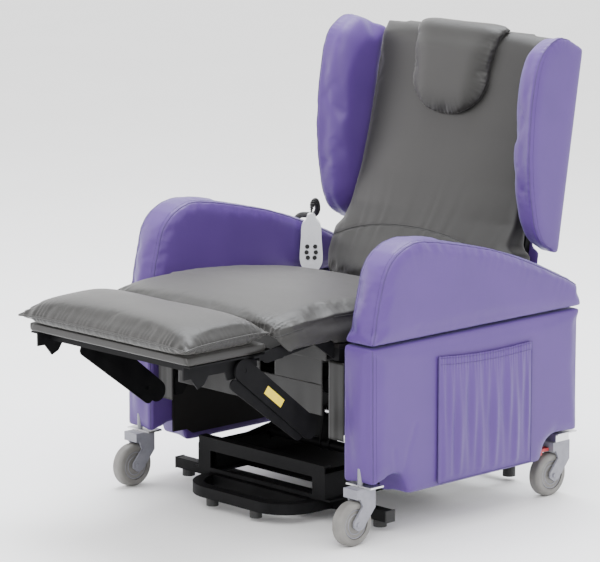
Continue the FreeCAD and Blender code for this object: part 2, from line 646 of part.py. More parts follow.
def place_handset(shape):
    shape = shape.copy()
    shape.rotate(V(0, 0, 0), Z_AXIS, HANDSET_TURN)
    shape.translate(V(*HANDSET_AT))
    return shape


def handset():
    """Oval hand control, widest below its middle, drawn with its face towards -Y."""
    w, d, h = HANDSET_SIZE
    curve = Part.BSplineCurve()
    half = [(0.30 * w, 0), (0.42 * w, 8), (0.5 * w, 42), (0.45 * w, 84), (0.36 * w, 112), (0.20 * w, 124), (0.14 * w, h)]
    points = [V(x, 0, z) for x, z in half] + [V(-x, 0, z) for x, z in reversed(half)]
    curve.interpolate(points, PeriodicFlag=True)
    body = Part.Face(Part.Wire(curve.toShape())).extrude(V(0, d, 0))
    body.translate(V(0, -d / 2, 0))
    for x, z in BUTTON_PLACES:
        body = body.cut(Part.makeCylinder(BUTTON_R + 0.3, 6, V(x, -d / 2 - 1, z), Y_AXIS))
    return place_handset(body)


def handset_button(index):
    x, z = BUTTON_PLACES[index]
    d = HANDSET_SIZE[1]
    return place_handset(Part.makeCylinder(BUTTON_R, 3.4, V(x, -d / 2 - 1.6, z), Y_AXIS))


CORD_R = 7.5
CORD_POINTS = [(-283, 147, 594), (-283, 149, 613), (-290, 168, 622), (-303, 187, 606), (-322, 206, 586),
               (-350, 222, 571), (-383, 232, 566), (-415, 236, 562), (-434, 236, 546), (-434, 232, 516), (-434, 216, 472),
               (-425, 206, 446), (-422, 205, 421)]


def tangent_path(points):
    """Straight runs joined by tangent arcs; returns the edges and the arcs' radii."""
    pts = [V(*p) for p in points]
    edges, radii, start = [], [], pts[0]
    for before, here, after in zip(pts, pts[1:], pts[2:]):
        a, b = (before - here), (after - here)
        reach = 0.45 * min(a.Length, b.Length)
        a.normalize()
        b.normalize()
        turn = math.pi - a.getAngle(b)
        p, q = here + a * reach, here + b * reach
        radius = reach / math.tan(turn / 2)
        bisector = a + b
        bisector.normalize()
        middle = here + bisector * (radius / math.cos(turn / 2) - radius)
        edges.append(Part.LineSegment(start, p).toShape())
        edges.append(Part.Arc(p, middle, q).toShape())
        radii.append(round(radius, 1))
        start = q
    edges.append(Part.LineSegment(start, pts[-1]).toShape())
    return edges, radii


def handset_cord():
    """Curly lead of the handset, as one tube of its outer size."""
    edges, radii = tangent_path(CORD_POINTS)
    wire = Part.Wire(edges)
    direction = V(*CORD_POINTS[1]) - V(*CORD_POINTS[0])
    profile = Part.Wire(Part.makeCircle(CORD_R, V(*CORD_POINTS[0]), direction))
    tube = wire.makePipeShell([profile], True, False)
    print("cord arc radii", radii, "volume ratio", round(tube.Volume / (math.pi * CORD_R ** 2 * wire.Length), 4))
    return tube


def cord_gland():
    """Strain relief where the lead leaves the right side panel."""
    cone = Part.makeCone(13, 8.5, 22, V(-422, 205, 398), Z_AXIS)
    return cone.cut(box(-ARM_OUT, -380, 180, 230, 390, 430))


# ---- write every piece -----------------------------------------------------------------------------
def pieces():
    lift_motor, lift_rod = telescopic(LIFT_Q0, LIFT_Q1, 0.0, 310, 34)
    leg_motor, leg_rod = telescopic(LEG_Q0, LEG_Q1, LEG_MOTOR_X, 425, 190)
    back_motor, back_rod = telescopic(BACK_Q0, BACK_LEVER, BACK_MOTOR_X, 300, 96)
    out = {
        "base_frame": base_frame(), "base_cross_tube": base_cross_tube(), "u_bar": u_bar(),
        "base_rubber": base_rubber(), "base_pins": base_pins(),
        "lift_arms_long": lift_arms_long(), "lift_arms_short": lift_arms_short(),
        "lift_motor": lift_motor, "lift_rod": lift_rod,
        "seat_frame": seat_frame(), "chassis_plates": chassis_plates(), "hinge_pins": hinge_pins(),
        "link_labels": link_labels(), "seat_board": seat_board(), "seat_cushion": seat_cushion(), "skirt": skirt(),
        "side_panel_left": side_panel(1), "side_panel_right": side_panel(-1), "side_linings": side_linings(),
        "caster_beams": caster_beams(), "caster_plates": caster_plates(),
        "arm_pad_left": arm_pad(1), "arm_pad_right": arm_pad(-1), "arm_cores": arm_cores(),
        "side_pocket": pocket_solid(), "control_box": control_box(),
        "legrest_frame": legrest_frame(), "footboard": footboard(), "legrest_pad": legrest_pad(),
        "chaise_pad": chaise_pad(), "legrest_links": legrest_links(),
        "legrest_motor": leg_motor, "legrest_rod": leg_rod, "back_motor": back_motor, "back_rod": back_rod,
        "back_frame": back_frame(), "back_panel": back_panel(), "back_cushion": back_cushion(),
        "wing_left": wing(1), "wing_right": wing(-1), "head_pillow": head_pillow(),
        "handset": handset(), "handset_cord": handset_cord(), "cord_gland": cord_gland(),
    }
    for i in range(len(BUTTON_PLACES)):
        out["handset_button_%d" % (i + 1)] = handset_button(i)
    for end, y in STEM_Y.items():
        for name, side in (("left", 1), ("right", -1)):
            fork, wheel, pedal = caster(CASTER_X, y, end == "rear")
            tag = "%s_%s" % (end, name)
            out["caster_fork_" + tag] = fork if side > 0 else mirror(fork)
            out["caster_wheel_" + tag] = wheel if side > 0 else [mirror(w) for w in wheel]
            if pedal:
                out["brake_pedal_" + tag] = pedal if side > 0 else mirror(pedal)
    return out


def main():
    os.makedirs("parts", exist_ok=True)
    for old in os.listdir("parts"):
        os.remove(os.path.join("parts", old))
    made = pieces()
    for name, shape in made.items():
        solids = [s for part in (shape if isinstance(shape, list) else [shape]) for s in part.Solids]
        bad = [s for s in solids if not s.isValid() or s.Volume <= 0]
        if bad or not solids:
            print("PROBLEM", name, len(solids), "solids,", len(bad), "bad")
        whole = solids[0] if len(solids) == 1 else Part.makeCompound(solids)
        whole.exportStep(os.path.join("parts", name + ".step"))
    print(len(made), "nodes")


main()
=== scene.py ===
"""Patient recliner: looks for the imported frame.  Metres, +Z up, the chair faces -Y."""
import json
import math

import bmesh
import bpy
import numpy as np
from mathutils import Matrix, Vector
from mathutils.bvhtree import BVHTree
from mathutils.kdtree import KDTree


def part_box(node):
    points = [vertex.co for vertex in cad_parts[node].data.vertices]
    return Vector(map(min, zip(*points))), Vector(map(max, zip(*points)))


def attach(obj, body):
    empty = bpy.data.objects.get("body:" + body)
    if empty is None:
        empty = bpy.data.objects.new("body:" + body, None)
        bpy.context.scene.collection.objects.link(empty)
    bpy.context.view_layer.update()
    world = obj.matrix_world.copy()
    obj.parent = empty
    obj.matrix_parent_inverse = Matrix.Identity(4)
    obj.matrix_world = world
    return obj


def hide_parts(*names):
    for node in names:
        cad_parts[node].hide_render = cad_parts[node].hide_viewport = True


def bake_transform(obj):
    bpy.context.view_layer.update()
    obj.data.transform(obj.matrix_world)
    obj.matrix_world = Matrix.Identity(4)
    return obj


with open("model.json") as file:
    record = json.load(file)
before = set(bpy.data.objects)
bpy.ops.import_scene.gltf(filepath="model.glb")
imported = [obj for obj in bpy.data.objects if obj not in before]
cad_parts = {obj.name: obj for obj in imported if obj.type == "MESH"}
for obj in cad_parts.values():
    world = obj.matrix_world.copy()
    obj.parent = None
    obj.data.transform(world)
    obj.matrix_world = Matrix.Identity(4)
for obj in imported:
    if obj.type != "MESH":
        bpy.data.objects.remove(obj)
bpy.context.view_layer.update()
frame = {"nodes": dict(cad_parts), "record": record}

NODES = frame["nodes"]
VOXEL = 0.0064
CLOTH_FRAMES = 20

# ---- sizes shared with the solids, in metres ---------------------------------------
ARM_IN, ARM_OUT = 0.312, 0.410
BACK_LEAN = math.atan(0.163)
BACK_ORIGIN = Vector((0, 0.3073, 0.430))
BACK_TURN = Matrix.Translation(BACK_ORIGIN) @ Matrix.Rotation(-BACK_LEAN, 4, "X")


# ---- materials ----------------------------------------------------------------------
def shader(name, color, rough=0.5, metal=0.0, **sockets):
    """A material with its Principled shader; returns (material, tree, shader node)."""
    mat = bpy.data.materials.new(name)
    mat.use_nodes = True
    tree = mat.node_tree
    bsdf = tree.nodes["Principled BSDF"]
    bsdf.inputs["Base Color"].default_value = (*color, 1)
    bsdf.inputs["Roughness"].default_value = rough
    bsdf.inputs["Metallic"].default_value = metal
    for key, value in sockets.items():
        bsdf.inputs[key.replace("_", " ")].default_value = value
    return mat, tree, bsdf


def node(tree, kind, **values):
    n = tree.nodes.new(kind)
    for key, value in values.items():
        if key in n.inputs:
            n.inputs[key].default_value = value
        else:
            setattr(n, key, value)
    return n


def texture(tree, kind, scale, coords, **values):
    n = node(tree, kind, **values)
    n.inputs["Scale"].default_value = scale
    tree.links.new(coords, n.inputs["Vector"])
    return n


def color_vary(tree, bsdf, low, high, coords, scale, detail=4.0):
    """Base colour that drifts between two tones with a soft noise."""
    noise = texture(tree, "ShaderNodeTexNoise", scale, coords, Detail=detail)
    ramp = node(tree, "ShaderNodeValToRGB")
    ramp.color_ramp.elements[0].position = 0.3
    ramp.color_ramp.elements[1].position = 0.7
    ramp.color_ramp.elements[0].color = (*low, 1)
    ramp.color_ramp.elements[1].color = (*high, 1)
    tree.links.new(noise.outputs["Fac"], ramp.inputs["Fac"])
    tree.links.new(ramp.outputs["Color"], bsdf.inputs["Base Color"])
    return noise


def bump(tree, bsdf, layers):
    """Stack bump layers: (height socket, strength, distance)."""
    last = None
    for height, strength, distance in layers:
        b = node(tree, "ShaderNodeBump", Strength=strength, Distance=distance)
        tree.links.new(height, b.inputs["Height"])
        if last:
            tree.links.new(last, b.inputs["Normal"])
        last = b.outputs["Normal"]
    tree.links.new(last, bsdf.inputs["Normal"])


def rough_vary(tree, bsdf, source, low, high):
    span = node(tree, "ShaderNodeMapRange")
    span.inputs["To Min"].default_value = low
    span.inputs["To Max"].default_value = high
    tree.links.new(source, span.inputs["Value"])
    tree.links.new(span.outputs["Result"], bsdf.inputs["Roughness"])


def vinyl(name, low, high, rough, sheen_tint, grain=0.35):
    """Soft coated cloth: fine leather grain, slow unevenness and a faint sheen."""
    mat, tree, bsdf = shader(name, low, rough, Coat_Weight=0.05, Coat_Roughness=0.35, Sheen_Weight=0.18,
                             Sheen_Roughness=0.4, Sheen_Tint=(*sheen_tint, 1), Specular_IOR_Level=0.30)
    coords = node(tree, "ShaderNodeTexCoord").outputs["Object"]
    slow = color_vary(tree, bsdf, low, high, coords, 9.0)
    cells = texture(tree, "ShaderNodeTexVoronoi", 900.0, coords, feature="DISTANCE_TO_EDGE")
    fine = texture(tree, "ShaderNodeTexNoise", 420.0, coords, Detail=3.0)
    waves = texture(tree, "ShaderNodeTexNoise", 22.0, coords, Detail=2.0)
    bump(tree, bsdf, [(waves.outputs["Fac"], 0.10, 0.003), (fine.outputs["Fac"], grain, 0.0006),
                      (cells.outputs["Distance"], grain, 0.0004)])
    rough_vary(tree, bsdf, slow.outputs["Fac"], rough - 0.06, rough + 0.08)
    return mat


def plastic(name, low, high, rough, scale=60.0, strength=0.12, **sockets):
    mat, tree, bsdf = shader(name, low, rough, **sockets)
    coords = node(tree, "ShaderNodeTexCoord").outputs["Object"]
    noise = color_vary(tree, bsdf, low, high, coords, scale)
    fine = texture(tree, "ShaderNodeTexNoise", 900.0, coords, Detail=2.0)
    bump(tree, bsdf, [(fine.outputs["Fac"], strength, 0.0005)])
    rough_vary(tree, bsdf, noise.outputs["Fac"], rough - 0.06, rough + 0.06)
    return mat


def metal(name, color, rough, brushed=False):
    mat, tree, bsdf = shader(name, color, rough, 1.0)
    coords = node(tree, "ShaderNodeTexCoord").outputs["Object"]
    stretch = node(tree, "ShaderNodeMapping")
    stretch.inputs["Scale"].default_value = (40, 600, 600) if brushed else (1, 1, 1)
    tree.links.new(coords, stretch.inputs["Vector"])
    scale = 1.0 if brushed else 300.0
    grain = texture(tree, "ShaderNodeTexNoise", scale, stretch.outputs["Vector"], Detail=4.0)
    bump(tree, bsdf, [(grain.outputs["Fac"], 0.1, 0.0003)])
    rough_vary(tree, bsdf, grain.outputs["Fac"], rough - 0.05, rough + 0.1)
    return mat


PURPLE = vinyl("purple_vinyl", (0.062, 0.027, 0.155), (0.071, 0.032, 0.172), 0.46, (0.65, 0.75, 1.0))
GREY = vinyl("grey_vinyl", (0.0150, 0.0145, 0.0138), (0.0190, 0.0184, 0.0172), 0.46, (0.9, 0.88, 0.85))
DARK = plastic("dark_lining", (0.005, 0.004, 0.004), (0.008, 0.007, 0.007), 0.6, 30.0, 0.2,
               Specular_IOR_Level=0.2)
CURTAIN = vinyl("curtain_vinyl", (0.007, 0.0067, 0.0064), (0.010, 0.0096, 0.009), 0.5, (0.7, 0.7, 0.7), 0.2)
BLACK = plastic("black_coat", (0.003, 0.003, 0.0035), (0.006, 0.006, 0.0065), 0.5, 30.0, 0.2,
                Specular_IOR_Level=0.08)
STEEL = metal("zinc_steel", (0.62, 0.62, 0.63), 0.3)
CHROME = metal("polished_rod", (0.72, 0.72, 0.74), 0.12, True)
CASTER = plastic("caster_grey", (0.17, 0.17, 0.20), (0.21, 0.21, 0.24), 0.38)
TREAD = plastic("tread_grey", (0.13, 0.125, 0.118), (0.17, 0.165, 0.155), 0.5, 40.0, 0.3)
RUBBER = plastic("black_rubber", (0.006, 0.006, 0.006), (0.012, 0.012, 0.012), 0.62, 50.0, 0.3)
MOTOR = plastic("motor_black", (0.004, 0.004, 0.0045), (0.008, 0.008, 0.009), 0.5, 40.0, 0.2,
                Specular_IOR_Level=0.25)
WHITE = plastic("handset_white", (0.62, 0.63, 0.66), (0.67, 0.68, 0.71), 0.28, 20.0, 0.05, Coat_Weight=0.3)
LABEL = plastic("label_yellow", (0.66, 0.50, 0.008), (0.74, 0.56, 0.012), 0.4, 80.0, 0.05)
PEDAL = plastic("pedal_red", (0.36, 0.02, 0.025), (0.42, 0.03, 0.035), 0.4)
THREAD = plastic("thread_purple", (0.040, 0.022, 0.100), (0.055, 0.030, 0.130), 0.7)
THREAD_GREY = plastic("thread_grey", (0.010, 0.010, 0.010), (0.016, 0.016, 0.016), 0.7)
PLYWOOD = plastic("plywood", (0.42, 0.28, 0.15), (0.52, 0.36, 0.2), 0.6, 12.0, 0.3)

SLOT_LOOK = {
    "purple": PURPLE, "grey": GREY, "lining": DARK, "steel": BLACK, "plate": STEEL, "wood": PLYWOOD,
    "caster": CASTER, "tread": TREAD, "rubber": RUBBER, "motor": MOTOR, "rod": CHROME, "handset": WHITE,
    "button": RUBBER, "label": LABEL, "pedal": PEDAL, "cord": RUBBER,
}
for part in frame["record"]["subparts"]:
    mesh = NODES[part["node"]].data
    look = SLOT_LOOK[part["material_slot"]]
    mesh.materials.clear()
    mesh.materials.append(look)


# ---- mesh helpers ---------------------------------------------------------------------
def add(name, data, look=None):
    obj = bpy.data.objects.new(name, data)
    bpy.context.scene.collection.objects.link(obj)
    if look:
        data.materials.clear()
        data.materials.append(look)
    return obj


def mesh_of(name, verts, faces, look=None, smooth=True):
    data = bpy.data.meshes.new(name)
    data.from_pydata([tuple(v) for v in verts], [], faces)
    bm = bmesh.new()
    bm.from_mesh(data)
    bmesh.ops.recalc_face_normals(bm, faces=bm.faces)
    bm.to_mesh(data)
    bm.free()
    if smooth:
        data.polygons.foreach_set("use_smooth", [True] * len(data.polygons))
    return add(name, data, look)


def coords_of(obj):
    co = np.empty(len(obj.data.vertices) * 3)
    obj.data.vertices.foreach_get("co", co)
    return co.reshape(-1, 3)


def set_coords(obj, co):
    obj.data.vertices.foreach_set("co", np.ascontiguousarray(co, dtype=np.float32).ravel())
    obj.data.update()


def normals_of(obj):
    obj.data.update()
    n = np.empty(len(obj.data.vertices) * 3)
    obj.data.vertex_normals.foreach_get("vector", n)
    return n.reshape(-1, 3)


def evaluated(obj):
    deps = bpy.context.evaluated_depsgraph_get()
    return bpy.data.meshes.new_from_object(obj.evaluated_get(deps))


def bake(obj):
    """Apply every modifier of the object to its mesh."""
    bpy.context.view_layer.update()
    data = evaluated(obj)
    looks = list(obj.data.materials)
    obj.modifiers.clear()
    obj.data = data
    data.materials.clear()
    for m in looks:
        data.materials.append(m)
    data.polygons.foreach_set("use_smooth", [True] * len(data.polygons))


def smooth_path(points, step=0.004, closed=False):
    """Points evenly spaced on a Catmull-Rom curve through the given ones."""
    p = [np.array(q, float) for q in points]
    p = [p[-1]] + p + [p[0], p[1]] if closed else [2 * p[0] - p[1]] + p + [2 * p[-1] - p[-2]]
    fine = []
    for a, b, c, d in zip(p, p[1:], p[2:], p[3:]):
        for t in np.linspace(0, 1, 24, endpoint=False):
            fine.append(0.5 * (2 * b + (c - a) * t + (2 * a - 5 * b + 4 * c - d) * t * t
                               + (3 * b - a - 3 * c + d) * t ** 3))
    fine.append(p[-2] if not closed else p[1])
    return even(np.array(fine), step)


def even(fine, step):
    """The polyline resampled at equal steps."""
    fine = np.asarray(fine, float)
    run = np.concatenate([[0], np.cumsum(np.linalg.norm(np.diff(fine, axis=0), axis=1))])
    marks = np.linspace(0, run[-1], max(3, int(round(run[-1] / step))))
    return np.stack([np.interp(marks, run, fine[:, i]) for i in range(3)], 1)


def prism(name, outline, x0, x1, look):
    """Closed solid of a (y, z) outline between two X planes."""
    n = len(outline)
    verts = [(x0, y, z) for y, z in outline] + [(x1, y, z) for y, z in outline]
    faces = [tuple(range(n)), tuple(range(n, 2 * n))]
    faces += [(i, (i + 1) % n, n + (i + 1) % n, n + i) for i in range(n)]
    return mesh_of(name, verts, faces, look)


def layered_grids(nu, nv):
    """Faces of two like grids of points, one behind the other, and the first one's rim in order."""
    w, n = nu + 1, (nu + 1) * (nv + 1)
    faces = []
    for j in range(nv):
        for i in range(nu):
            a = j * w + i
            faces += [(a, a + 1, a + w + 1, a + w), (n + a, n + a + w, n + a + w + 1, n + a + 1)]
    rim = list(range(w)) + [j * w + nu for j in range(1, nv + 1)]
    rim += [nv * w + i for i in range(nu - 1, -1, -1)] + [j * w for j in range(nv - 1, 0, -1)]
    return faces, rim


def thin_shell(nu, nv):
    """Faces of a sheet with a front, a back and the narrow wall between them."""
    faces, rim = layered_grids(nu, nv)
    n = (nu + 1) * (nv + 1)
    return faces + [(a, b, n + b, n + a) for a, b in zip(rim, rim[1:] + rim[:1])]


def thick_shell(w, rows):
    """Faces of a closed body: rows of w points in front, as many behind, and walls on four sides."""
    n = w * rows
    faces = []
    for j in range(rows - 1):
        for i in range(w - 1):
            a = j * w + i
            faces += [(a, a + 1, a + w + 1, a + w), (n + a, n + a + w, n + a + w + 1, n + a + 1)]
        for a, b in ((j * w, (j + 1) * w), (j * w + w - 1, (j + 1) * w + w - 1)):
            faces.append((a, b, n + b, n + a))
    for i in range(w - 1):
        for row in (0, (rows - 1) * w):
            faces.append((row + i, row + i + 1, n + row + i + 1, n + row + i))
    return faces


def remesh(obj, voxel=None):
    m = obj.modifiers.new("Remesh", "REMESH")
    m.mode = "VOXEL"
    m.voxel_size = voxel or VOXEL
    m.use_smooth_shade = True
    bake(obj)


def relax(obj, times, factor=0.5):
    m = obj.modifiers.new("Smooth", "SMOOTH")
    m.factor, m.iterations = factor, times
    bake(obj)


def puff(obj, cap, inset=0.4, pressure=4.0, keep=None, relax_first=3):
    """Blow the cover up with a short cloth simulation; no point moves further than cap."""
    relax(obj, relax_first)
    start = coords_of(obj)
    weight = np.ones(len(start)) if keep is None else keep(start)
    weight = weight[:, None]
    start = start - normals_of(obj) * (cap * inset) * weight
    set_coords(obj, start)
    m = obj.modifiers.new("Cloth", "CLOTH")
    s = m.settings
    s.quality, s.mass = 4, 0.3
    s.tension_stiffness = s.compression_stiffness = 12
    s.shear_stiffness, s.bending_stiffness = 6, 0.6
    s.use_pressure, s.uniform_pressure_force = True, pressure
    s.effector_weights.gravity = 0
    m.collision_settings.use_collision = False
    scene = bpy.context.scene
    for f in range(1, CLOTH_FRAMES + 1):
        scene.frame_set(f)
    data = evaluated(obj)
    after = np.empty(len(data.vertices) * 3)
    data.vertices.foreach_get("co", after)
    after = after.reshape(-1, 3)
    obj.modifiers.remove(m)
    bpy.data.meshes.remove(data)
    scene.frame_set(1)
    move = after - start
    length = np.linalg.norm(move, axis=1, keepdims=True)
    move *= np.minimum(1, cap / np.maximum(length, 1e-9)) * weight
    set_coords(obj, start + move)


def subdivide(obj, levels=1):
    m = obj.modifiers.new("Sub", "SUBSURF")
    m.levels = m.render_levels = levels
    bake(obj)


def near(co, path, reach):
    """(indices, distance, run) of the points within reach of a path; run is the length along it."""
    low, high = path.min(0) - reach, path.max(0) + reach
    inside = np.nonzero(((co > low) & (co < high)).all(1))[0]
    tree = KDTree(len(path))
    for i, p in enumerate(path):
        tree.insert(p, i)
    tree.balance()
    run = np.concatenate([[0], np.cumsum(np.linalg.norm(np.diff(path, axis=0), axis=1))])
    found, dist, along = [], [], []
    for i in inside:
        _, k, d = tree.find(co[i])
        if d < reach:
            found.append(i)
            dist.append(d)
            along.append(run[k])
    return np.array(found, int), np.array(dist), np.array(along)


def seam(obj, path, depth=0.0025, width=0.005, gather=0.0, pitch=0.022, reach=0.035, where=None, seed=0.0):
    """Pull the cover in along a sewn line, with gathers running away from it."""
    co = coords_of(obj)
    idx, d, s = near(co, path, max(3 * width, 3 * reach if gather else 0))
    if not len(idx):
        return
    push = -depth * np.exp(-(d / width) ** 2)
    if gather:
        phase = (2 * math.pi * s / pitch + 1.9 * np.sin(2 * math.pi * s / (4.3 * pitch) + seed)
                 + 0.8 * np.sin(s * 91 + seed))
        size = 1.0 if where is None else where(co[idx])
        folds = gather * size * (0.5 + 0.5 * np.sin(phase))
        push -= folds * np.exp(-d / reach) * (1 - np.exp(-(d / width) ** 2))
    co[idx] += normals_of(obj)[idx] * push[:, None]
    set_coords(obj, co)


def snap(path, obj, lift=0.0):
    """The path laid on the object's surface."""
    data = obj.data
    tree = BVHTree.FromPolygons([v.co for v in data.vertices], [p.vertices for p in data.polygons])
    out = []
    for p in path:
        at, n, _, _ = tree.find_nearest(Vector(p))
        out.append(np.array(at + n * lift))
    out = np.array(out)
    for _ in range(2):
        out[1:-1] = (out[:-2] + 2 * out[1:-1] + out[2:]) / 4
    return out


def welt(name, path, radius, look, body, closed=False):
    """Round piping along a path."""
    curve = bpy.data.curves.new(name, "CURVE")
    curve.dimensions = "3D"
    line = curve.splines.new("POLY")
    line.points.add(len(path) - 1)
    for point, p in zip(line.points, path):
        point.co = (*p, 1)
    line.use_cyclic_u = closed
    curve.bevel_depth, curve.bevel_resolution = radius, 2
    obj = add(name, curve, look)
    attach(obj, body)
    return obj


def stitches(name, path, look, body, length=0.0036, gap=0.0022, radius=0.00055):
    """A row of short raised stitches along a path."""
    run = np.concatenate([[0], np.cumsum(np.linalg.norm(np.diff(path, axis=0), axis=1))])
    verts, faces = [], []
    for start in np.arange(0.002, run[-1] - length, length + gap):
        a, b = (np.array([np.interp(v, run, path[:, i]) for i in range(3)]) for v in (start, start + length))
        t = (b - a) / max(np.linalg.norm(b - a), 1e-9)
        u = np.cross(t, (0.31, 0.52, 0.79))
        u /= np.linalg.norm(u)
        w = np.cross(t, u)
        base = len(verts)
        for p, r in ((a - t * radius, 0.35), (a, 1.0), (b, 1.0), (b + t * radius, 0.35)):
            for k in range(5):
                q = 2 * math.pi * k / 5
                verts.append(p + (u * math.cos(q) + w * math.sin(q)) * radius * r)
        for ring in range(3):
            for k in range(5):
                i = base + ring * 5
                faces.append((i + k, i + (k + 1) % 5, i + 5 + (k + 1) % 5, i + 5 + k))
        faces.append(tuple(base + k for k in range(5)))
        faces.append(tuple(base + 15 + k for k in range(5)))
    obj = mesh_of(name, verts, faces, look)
    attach(obj, body)
    return obj


def mirrored(obj, name):
    data = obj.data.copy()
    data.transform(Matrix.Scale(-1, 4, (1, 0, 0)))
    data.flip_normals()
    return add(name, data)


def soft(obj, body, slot, fill, *nodes):
    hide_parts(*nodes)
    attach(obj, body)


# ---- camera, light and floor --------------------------------------------------------------
camera = bpy.data.objects.new("camera", bpy.data.cameras.new("camera"))
bpy.context.scene.collection.objects.link(camera)
camera.data.sensor_width, camera.data.lens = 36.0, 198.0
AIM = Vector((0, -0.161, 0.5085))
AZ, EL, AWAY = math.radians(46.24), math.radians(10.9), 7.452
TO_CAMERA = Vector((math.sin(AZ) * math.cos(EL), -math.cos(AZ) * math.cos(EL), math.sin(EL)))
camera.location = AIM + AWAY * TO_CAMERA
camera.rotation_euler = (AIM - camera.location).to_track_quat("-Z", "Y").to_euler()
camera.data.clip_end = 60
bpy.context.scene.camera = camera


def area_light(name, place, aim, size, power, color):
    lamp = bpy.data.lights.new(name, "AREA")
    lamp.size, lamp.energy, lamp.color = size, power, color
    obj = bpy.data.objects.new(name, lamp)
    bpy.context.scene.collection.objects.link(obj)
    obj.location = place
    obj.rotation_euler = (Vector(aim) - Vector(place)).to_track_quat("-Z", "Y").to_euler()


area_light("key", (2.6, -3.0, 3.4), (0, 0, 0.5), 2.2, 110, (1.0, 1.0, 1.0))
area_light("top", (-0.6, 0.6, 4.0), (0, -0.2, 0.6), 2.6, 300, (0.93, 0.96, 1.0))
area_light("left", (-4.2, -2.4, 1.6), (0, 0, 0.5), 2.4, 70, (1.0, 0.95, 0.97))
world = bpy.data.worlds.new("studio")
world.use_nodes = True
world.node_tree.nodes["Background"].inputs["Color"].default_value = (1, 1, 1, 1)
world.node_tree.nodes["Background"].inputs["Strength"].default_value = 2.1
bpy.context.scene.world = world
floor_mat = plastic("floor_white", (0.90, 0.90, 0.90), (0.92, 0.92, 0.92), 0.6, 2.0, 0.02)
floor = mesh_of("floor", [(-30, -30, 0), (30, -30, 0), (30, 30, 0), (-30, 30, 0)], [(0, 1, 2, 3)],
                floor_mat, False)


# ---- handset lead --------------------------------------------------------------------------
CORD = [(-283, 147, 594), (-283, 149, 613), (-290, 168, 622), (-303, 187, 606), (-322, 206, 586),
        (-350, 222, 571), (-383, 232, 566), (-415, 236, 562), (-434, 236, 546), (-434, 232, 516),
        (-434, 216, 472), (-425, 206, 446), (-422, 205, 421)]


def nurbs(name, points, order=3):
    curve = bpy.data.curves.new(name, "CURVE")
    curve.dimensions = "3D"
    line = curve.splines.new("NURBS")
    line.points.add(len(points) - 1)
    for point, p in zip(line.points, points):
        point.co = (p[0], p[1], p[2], 1)
    line.order_u = order
    line.use_endpoint_u = True
    line.resolution_u = 12
    return curve


def run_of(curve):
    """Points of a curve without bevel, in order."""
    holder = add("route", curve)
    bpy.context.view_layer.update()
    data = evaluated(holder)
    pts = np.array([v.co[:] for v in data.vertices])
    bpy.data.objects.remove(holder)
    return pts


def curly_lead():
    route = even(run_of(nurbs("lead_route", [tuple(v / 1000 for v in p) for p in CORD])), 0.0012)
    run = np.concatenate([[0], np.cumsum(np.linalg.norm(np.diff(route, axis=0), axis=1))])
    wire, coil = 0.0021, 0.0052
    pitch = 0.0052
    verts = []
    up = np.array([0, 1.0, 0])
    for i, p in enumerate(route):
        t = route[min(i + 1, len(route) - 1)] - route[max(i - 1, 0)]
        t /= np.linalg.norm(t)
        up = up - t * up.dot(t)
        up /= np.linalg.norm(up)
        side = np.cross(t, up)
        ease = min(1, run[i] / 0.02, (run[-1] - run[i]) / 0.02)
        for k in range(3):
            if i + k / 3 > len(route) - 1:
                break
            s = run[i] + k * 0.0004
            a = 2 * math.pi * s / pitch
            q = p + t * (k * 0.0004)
            verts.append(q + (up * math.cos(a) + side * math.sin(a)) * coil * ease)
    curve = nurbs("handset_lead", verts)
    curve.splines[0].resolution_u = 2
    curve.bevel_depth, curve.bevel_resolution = wire, 2
    obj = add("handset_lead", curve, RUBBER)
    line = np.array(verts)
    length = float(np.linalg.norm(np.diff(line, axis=0), axis=1).sum())
    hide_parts("handset_cord")
    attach(obj, "chassis")
    return length


LEAD = curly_lead()

# ---- arms ----------------------------------------------------------------------------------
ARM_LINE = [(-0.336, 0.4405), (-0.328, 0.500), (-0.316, 0.553), (-0.297, 0.610), (-0.258, 0.648),
            (-0.205, 0.666), (-0.140, 0.662), (-0.050, 0.644), (0.060, 0.617), (0.180, 0.573),
            (0.280, 0.528), (0.334, 0.497), (0.3395, 0.485), (0.3395, 0.4405)]


def arm_outline():
    top = smooth_path([(0, y, z) for y, z in ARM_LINE[2:12]], 0.01)
    return [ARM_LINE[0], ARM_LINE[1]] + [(p[1], p[2]) for p in top] + ARM_LINE[12:]


def inset_line(line, amount):
    """A (y, z) polyline moved to its right-hand side."""
    pts = np.array(line, float)
    t = np.gradient(pts, axis=0)
    t /= np.linalg.norm(t, axis=1, keepdims=True)
    return pts + np.stack([t[:, 1], -t[:, 0]], 1) * amount


def edge_seams(line, x, inset=0.0):
    pts = inset_line(line, inset)
    return even(np.array([(x, y, z) for y, z in pts]), 0.003)


def build_arm():
    outline = arm_outline()
    obj = prism("arm_cover_left", outline, ARM_IN + 0.003, ARM_OUT - 0.001, PURPLE)
    remesh(obj)

    def keep(co):
        return np.clip((co[:, 2] - 0.442) / 0.03, 0.15, 1)
    puff(obj, 0.007, 0.8, 3.0, keep, 4)
    relax(obj, 3)
    subdivide(obj)
    front_top = outline[:-2]
    lines = []
    for x in (ARM_OUT - 0.001, ARM_IN + 0.003):
        path = edge_seams(front_top, x)
        path = snap(path, obj)
        seam(obj, path, 0.0022, 0.0035, 0.0007, 0.03, 0.03)
        lines.append(path)
    return obj, lines


